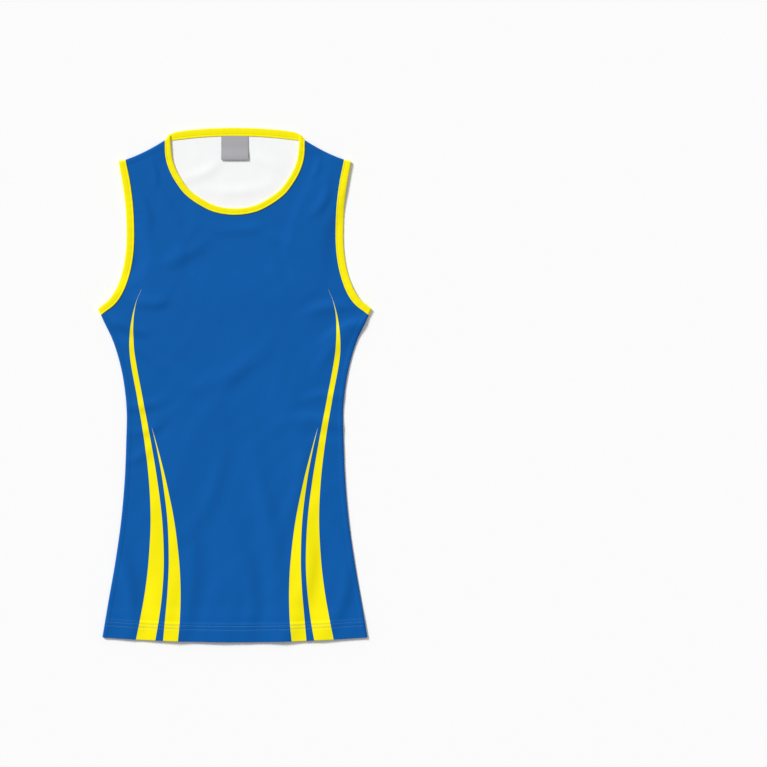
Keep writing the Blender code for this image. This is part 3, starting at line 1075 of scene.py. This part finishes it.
def binding_stitches(name, piece, edge, thread):
    """The stitches that hold a binding, a row on each of its faces."""
    length = lengths_along(edge.free)[-1]
    margin = SEWN_UP_TO / length
    seam, _, outwards = across_binding(
        edge, np.linspace(margin, 1 - margin, int(length / STRIP_STEP))
    )
    line = seam + outwards * (SEAM_GAP + BAND_STITCH_IN)
    return join(name, [stitch_row(piece, line, side) for side in (1, -1)], thread)


# ---------------------------------------------------------------- materials


def put(tree, kind, operation=None, **sockets):
    """Adds a node. Its inputs, by name or as a0, a1 ... by place, take a value or another's output."""
    node = tree.nodes.new("ShaderNode" + kind)
    if operation:
        node.operation = operation
    for key, value in sockets.items():
        socket = node.inputs[int(key[1:]) if key[1:].isdigit() else key]
        if isinstance(value, bpy.types.NodeSocket):
            tree.links.new(value, socket)
        else:
            socket.default_value = value
    return node.outputs[0]


def work_out(tree, operation, *values):
    """The result of a Math node on these values."""
    return put(tree, "Math", operation, **{f"a{place}": value for place, value in enumerate(values)})


def split(tree, vector):
    """The three numbers of a vector."""
    return put(tree, "SeparateXYZ", a0=vector).node.outputs


def ramp(tree, value, results, limits=(0.0, 1.0)):
    """Spreads a value from between the limits to between the two results."""
    (low, high), (start, end) = results, limits
    return put(tree, "MapRange", a0=value, a1=start, a2=end, a3=low, a4=high)


def object_places(tree):
    """Places on a piece, in metres from the part's origin."""
    return put(tree, "TexCoord").node.outputs["Object"]


def turning(tree, turns):
    """The sine of this many whole turns."""
    return work_out(tree, "SINE", work_out(tree, "MULTIPLY", turns, 2 * pi))


def slanting(tree, places, scale, distortion):
    """Fine slanting waves between 0 and 1."""
    wave = put(tree, "TexWave", Vector=places, Scale=scale, Distortion=distortion).node
    wave.bands_direction = "DIAGONAL"
    return wave.outputs["Fac"]


def new_group(name, numbers, results):
    """A node group that takes a vector and numbers: the group, what it takes and what it gives."""
    group = bpy.data.node_groups.new(name, "ShaderNodeTree")
    socket = group.interface.new_socket
    socket("Vector", in_out="INPUT", socket_type="NodeSocketVector")
    for number in numbers:
        socket(number, in_out="INPUT", socket_type="NodeSocketFloat")
    for result in results:
        socket(result, in_out="OUTPUT", socket_type="NodeSocketFloat")
    source = group.nodes.new("NodeGroupInput").outputs
    return group, source, group.nodes.new("NodeGroupOutput").inputs


def knit_group():
    """The face of a fine knit: columns of stitches whose two legs lean together.

    Its Shade output is painted shade, which darkens the hollows between the legs.
    """
    group, source, target = new_group("knit", ["Wale", "Course"], ["Height", "Shade"])
    x, y, _ = split(group, source["Vector"])
    wale = work_out(group, "DIVIDE", x, source["Wale"])
    course = work_out(group, "DIVIDE", y, source["Course"])
    leg = work_out(group, "ABSOLUTE", turning(group, wale))
    lean = work_out(group, "PINGPONG", wale, 0.5)
    loop = turning(group, work_out(group, "ADD", course, lean))
    loop = work_out(group, "MULTIPLY_ADD", loop, COURSE_RELIEF, 1 - COURSE_RELIEF)
    height = work_out(group, "MULTIPLY", leg, loop)
    group.links.new(height, target["Height"])
    # Painted shade: the colour darkens towards the hollows of the knit
    group.links.new(ramp(group, height, KNIT_FINISH.shade, (0.0, FULL_SHADE)), target["Shade"])
    return group


def uneven_group():
    """Soft, uneven differences of shade over a cloth."""
    group, source, target = new_group("unevenness", ["Amount"], ["Shade"])
    broad, fine = (
        put(group, "TexNoise", Vector=source["Vector"], Scale=scale, Detail=detail)
        for scale, detail in (BROAD_PATCHES, FINE_PATCHES)
    )
    both = work_out(group, "SUBTRACT", work_out(group, "ADD", broad, fine), 1.0)
    shade = work_out(group, "MULTIPLY_ADD", both, source["Amount"], 1.0)
    group.links.new(shade, target["Shade"])
    return group


def use(tree, group, vector, **values):
    """Places a node group in a material, and returns what it gives."""
    node = tree.nodes.new("ShaderNodeGroup")
    node.node_tree = group
    tree.links.new(vector, node.inputs["Vector"])
    for name, value in values.items():
        node.inputs[name].default_value = value
    return node.outputs


def new_material(name, specular):
    """A material, its tree and its shader."""
    material = bpy.data.materials.new(name)
    material.use_nodes = True
    shader = material.node_tree.nodes["Principled BSDF"]
    shader.inputs["Specular IOR Level"].default_value = specular
    return material, material.node_tree, shader


def cover(tree, shader, colour, shade, relief, surface):
    """Gives a shader its colour times a shade, and a finish's roughness and bump by a relief of 0 to 1.

    The shade holds painted shade in the relief's hollows, a painted highlight on the tops of thread and
    satin, and the cloth's own uneven tone.
    """
    tint = put(tree, "VectorMath", "SCALE", a0=colour, Scale=shade)
    tree.links.new(tint, shader.inputs["Base Color"])
    tree.links.new(ramp(tree, relief, surface.roughness), shader.inputs["Roughness"])
    if surface.bump:
        bump = put(tree, "Bump", Strength=surface.bump, Distance=surface.depth * MM, Height=relief)
        tree.links.new(bump, shader.inputs["Normal"])


def flash_mask(tree, name):
    """1 inside a printed flash, 0 outside, with an edge as soft as a dye print's."""
    gaps = tree.nodes.new("ShaderNodeAttribute")
    gaps.attribute_name = name
    outer, inner, _ = split(tree, gaps.outputs["Vector"])
    return ramp(tree, work_out(tree, "MINIMUM", outer, inner), (0.0, 1.0), (-PRINT_BLUR, PRINT_BLUR))


def cloth_material(name, colour, print_colour=None, strip=False):
    """A fine polyester knit. A print colour dyes the flashes. A strip's knit follows its length."""
    material, tree, shader = new_material(name, KNIT_FINISH.specular)
    shader.inputs["Sheen Weight"].default_value = SHEEN
    shader.inputs["Sheen Roughness"].default_value = SHEEN_ROUGHNESS
    if strip:
        along = tree.nodes.new("ShaderNodeUVMap")
        along.uv_map = "strip"
        places = along.outputs[0]
    else:
        places = object_places(tree)
    base = colour[:3]
    if print_colour:
        printed = work_out(tree, "MAXIMUM", *(flash_mask(tree, flash) for flash in FLASHES))
        # A Mix node's colours are its inputs 6 and 7 and its output 2
        dye = put(tree, "Mix", a0=printed, a6=colour, a7=print_colour).node
        dye.data_type = "RGBA"
        base = dye.outputs[2]
    knit = use(tree, KNIT, places, Wale=WALE * MM, Course=COURSE * MM)
    uneven = use(tree, UNEVEN, places, Amount=CLOTH_PATCHES)
    # The knit's Shade is painted shade in its hollows. The unevenness is the cloth's own uneven tone
    shade = work_out(tree, "MULTIPLY", knit["Shade"], uneven["Shade"])
    cover(tree, shader, base, shade, knit["Height"], KNIT_FINISH)
    return material


def thread_material(name, colour):
    """Spun polyester thread, with the slant of its twist.

    Its colour holds painted shade in the twist's grooves and a painted highlight on its ridges.
    """
    material, tree, shader = new_material(name, THREAD_FINISH.specular)
    places = object_places(tree)
    twist = slanting(tree, places, *TWIST)
    # Painted shade in the twist's grooves and a painted highlight on its ridges
    cover(tree, shader, colour[:3], ramp(tree, twist, THREAD_FINISH.shade), twist, THREAD_FINISH)
    return material


def label_material():
    """Satin tape: fine diagonal floats with a soft gleam and close-woven edges.

    The gleam comes partly from the satin's gloss and partly from a painted highlight on the floats,
    whose hollows hold painted shade.
    """
    material, tree, shader = new_material("label_satin", SATIN_FINISH.specular)
    places = object_places(tree)
    floats = slanting(tree, places, *SATIN_FLOATS)
    aside = work_out(tree, "ABSOLUTE", split(tree, places)["X"])
    limits = [(LABEL_WIDTH / 2 - inset) * MM for inset in SELVEDGE]
    edge = ramp(tree, aside, (1.0, SELVEDGE_SHADE), limits)
    uneven = use(tree, UNEVEN, places, Amount=SATIN_PATCHES)
    # Painted shade in the floats' hollows and a painted highlight on their tops, times the darker woven
    # edges
    shade = work_out(tree, "MULTIPLY", ramp(tree, floats, SATIN_FINISH.shade), edge)
    shade = work_out(tree, "MULTIPLY", shade, uneven["Shade"])
    cover(tree, shader, LABEL_GREY[:3], shade, floats, SATIN_FINISH)
    return material


def floor_material():
    """A plain matt floor."""
    material, _, shader = new_material("pale_floor", FLOOR_SPECULAR)
    shader.inputs["Base Color"].default_value = FLOOR_WHITE
    shader.inputs["Roughness"].default_value = FLOOR_ROUGHNESS
    return material


# ---------------------------------------------------------------- the garment


KNIT = knit_group()
UNEVEN = uneven_group()


def dress_panels(print_cloth, plain_cloth, inside, thread):
    """The two panels and the sewing of their hems, each on the side that faces out."""
    front = panel("front_panel_cloth", front_rows(), front_lay, FRONT_LIFT, print_cloth, inside)
    back = panel("back_panel_cloth", back_rows(), back_lay, BACK_LIFT, plain_cloth, inside)
    print_flashes(front)
    finish(front, ["front_panel"])
    finish(back, ["back_panel"])
    back_length = TOTAL_LENGTH - BACK_NECK_BAND
    for piece, name, side, length, area, below in (
        (front, "front", 1, SHOULDER_NECK.height, FRONT_CUT_AREA, "back_panel_cloth"),
        (back, "back", -1, back_length, BACK_CUT_AREA, "floor"),
    ):
        sewing = hem_stitches(name + "_hem_stitches", piece, side, thread)
        finish(sewing)


def dress_bindings(cloth, thread):
    """The folded bindings and their sewing."""
    front_neck = Edge(*map(both_sides, FRONT_COLLAR))
    back_neck = Edge(*map(both_sides, BACK_COLLAR))
    edges = {
        "armhole_binding_back_left": (BACK_ARM, back_lay),
        "armhole_binding_back_right": (mirrored(BACK_ARM), back_lay),
        "neck_binding_back": (back_neck, back_lay),
        "armhole_binding_front_left": (FRONT_ARM, front_lay),
        "armhole_binding_front_right": (mirrored(FRONT_ARM), front_lay),
        "neck_binding_front": (front_neck, front_lay),
    }
    for name, (edge, lay) in edges.items():
        piece, flat = binding(name + "_cloth", edge, lay, cloth)
        finish(piece, [name])
        sewing = finish(binding_stitches(name + "_stitches", piece, edge, thread))


def dress_label():
    """The label under the back neck."""
    label = finish(label_loop(), ["neck_label"])


def stage():
    """The floor, the light and the camera."""
    bpy.ops.object.select_all(action="DESELECT")
    bpy.ops.mesh.primitive_plane_add(size=FLOOR_SIZE * MM, location=(0, 0, 0))
    floor = bpy.context.object
    floor.name = "floor"
    floor.data.materials.append(floor_material())

    world = bpy.data.worlds.new("studio")
    world.use_nodes = True
    background = world.node_tree.nodes["Background"]
    background.inputs["Color"].default_value = (1, 1, 1, 1)
    background.inputs["Strength"].default_value = WORLD_LIGHT
    bpy.context.scene.world = world

    bpy.ops.object.light_add(type="SUN", rotation=(*np.radians(SUN_TURN), 0))
    sun = bpy.context.object.data
    sun.energy = SUN_STRENGTH
    sun.angle = radians(SUN_ANGLE)

    place = in_metres(np.array([*CAMERA_PLACE, CAMERA_RISE]))
    bpy.ops.object.camera_add(location=place, rotation=(0, 0, 0))
    camera = bpy.context.object
    camera.data.sensor_width = SENSOR
    camera.data.lens = SENSOR * CAMERA_RISE / VIEW_WIDTH
    bpy.context.scene.camera = camera
    bpy.context.scene.view_settings.view_transform = "Standard"


print_cloth = cloth_material("printed_knit", BLUE, print_colour=YELLOW)
plain_cloth = cloth_material("blue_knit", BLUE)
inside = cloth_material("white_inside", INSIDE_WHITE)
band_cloth = cloth_material("yellow_binding_knit", YELLOW, strip=True)
hem_thread = thread_material("hem_thread", HEM_THREAD)
band_thread = thread_material("binding_thread", BAND_THREAD)

stage()
dress_panels(print_cloth, plain_cloth, inside, hem_thread)
dress_bindings(band_cloth, band_thread)
dress_label()
